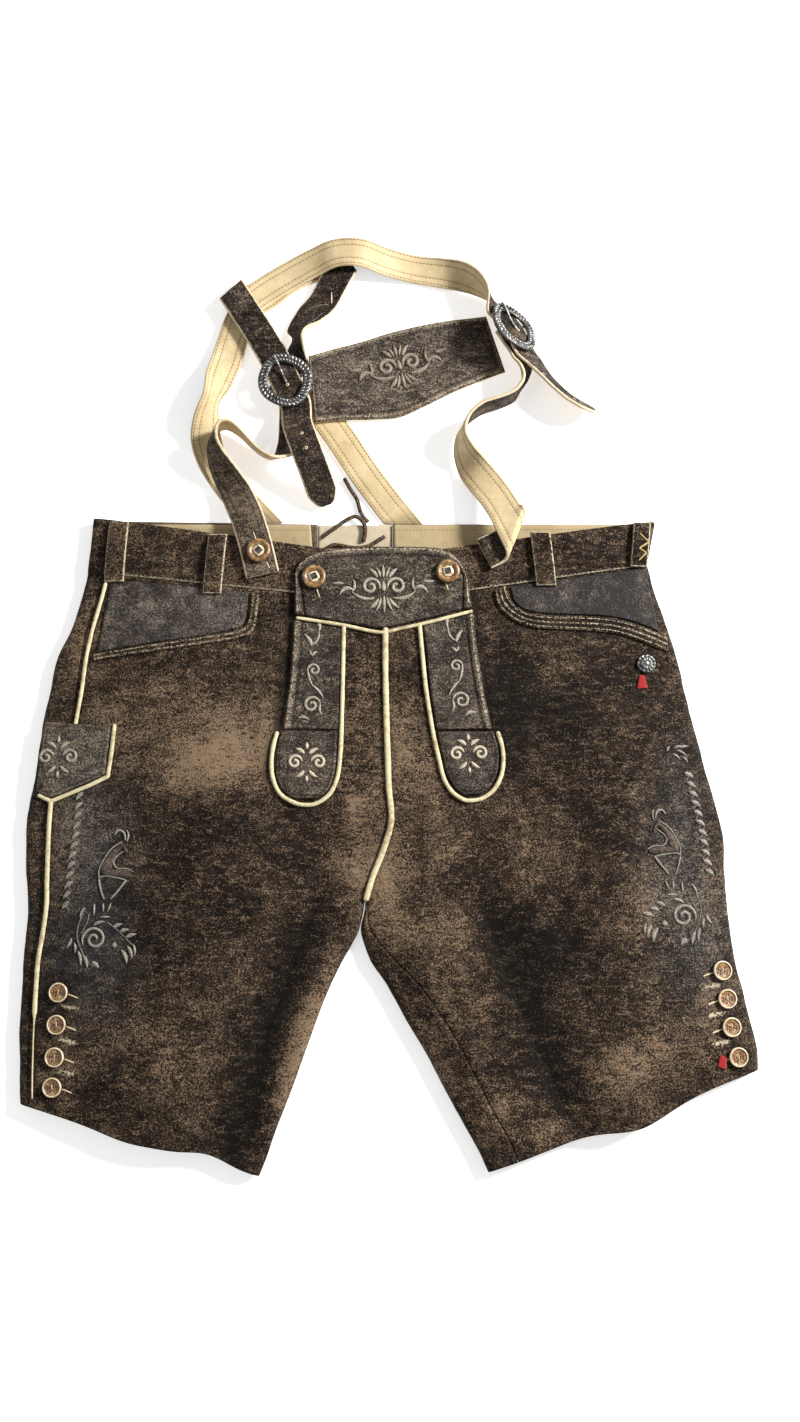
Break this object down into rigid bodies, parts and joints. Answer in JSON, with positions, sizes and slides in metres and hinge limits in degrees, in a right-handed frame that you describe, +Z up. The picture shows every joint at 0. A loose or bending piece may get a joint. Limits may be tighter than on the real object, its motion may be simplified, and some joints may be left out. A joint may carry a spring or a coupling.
{
  "type": "lederhosen",
  "caption": "Short leather trousers with a buttoned drop-front flap, a knife pocket and buckled braces joined by a chest piece, laid flat with the front up.",
  "frame": {"origin": "middle of the footprint on the surface that the garment lies on", "axes": "+Z up off the surface, out of the garment's front; +Y towards the waist and the braces; +X towards the wearer's left leg"},
  "size_m": [0.587, 0.7836, 0.0344],
  "materials": {
    "worn_leather": "worn dark brown suede with scuffed, polished places",
    "smooth_leather": "smooth grey-brown leather, embroidered",
    "tan_lining": "light tan split leather, stitched along its edges",
    "cream_piping": "cream leather piping",
    "horn": "turned horn with a pale rim",
    "old_silver": "antique silver on cast metal",
    "red_tab": "woven tape, plain"
  },
  "bodies": {
    "root": {"back_leg_left": "worn_leather", "back_leg_right": "worn_leather", "back_seat_right": "worn_leather", "band_lining_left": "tan_lining", "band_lining_right": "tan_lining", "belt_loop_left_inner": "worn_leather", "belt_loop_left_outer": "worn_leather", "belt_loop_right_inner": "worn_leather", "belt_loop_right_outer": "worn_leather", "bib": "smooth_leather", "brace_button": "horn", "buckle_left": "old_silver", "buckle_prong_left": "old_silver", "buckle_prong_right": "old_silver", "buckle_right": "old_silver", "chest_piece": "smooth_leather", "concho": "old_silver", "concho_tab": "red_tab", "facing_left": "smooth_leather", "facing_right": "smooth_leather", "flap_button_left": "horn", "flap_button_right": "horn", "front_leg_left": "worn_leather", "front_leg_right": "worn_leather", "front_strap_left": "worn_leather", "front_strap_right": "worn_leather", "hem_tab": "red_tab", "knife_flap": "smooth_leather", "leg_button_left_1": "horn", "leg_button_left_2": "horn", "leg_button_left_3": "horn", "leg_button_left_4": "horn", "leg_button_right_1": "horn", "leg_button_right_2": "horn", "leg_button_right_3": "horn", "leg_button_right_4": "horn", "long_strap_left": "tan_lining", "long_strap_right": "worn_leather", "piping_bib": "cream_piping", "piping_centre": "cream_piping", "piping_knife_flap": "cream_piping", "piping_side_lower": "cream_piping", "piping_side_upper": "cream_piping", "piping_strip_left": "cream_piping", "piping_strip_right": "cream_piping", "rear_strap_left": "tan_lining", "strip_end_left": "smooth_leather", "strip_end_right": "smooth_leather", "strip_left": "worn_leather", "strip_right": "worn_leather", "vent_gusset": "cream_piping", "vent_lace_end": "worn_leather", "vent_lace_left": "worn_leather", "vent_lace_right": "worn_leather", "waistband_back_left": "worn_leather", "waistband_back_right": "worn_leather", "waistband_front_left": "worn_leather", "waistband_front_right": "worn_leather", "welt_left": "worn_leather", "welt_right": "worn_leather"}
  },
  "joints": []
}
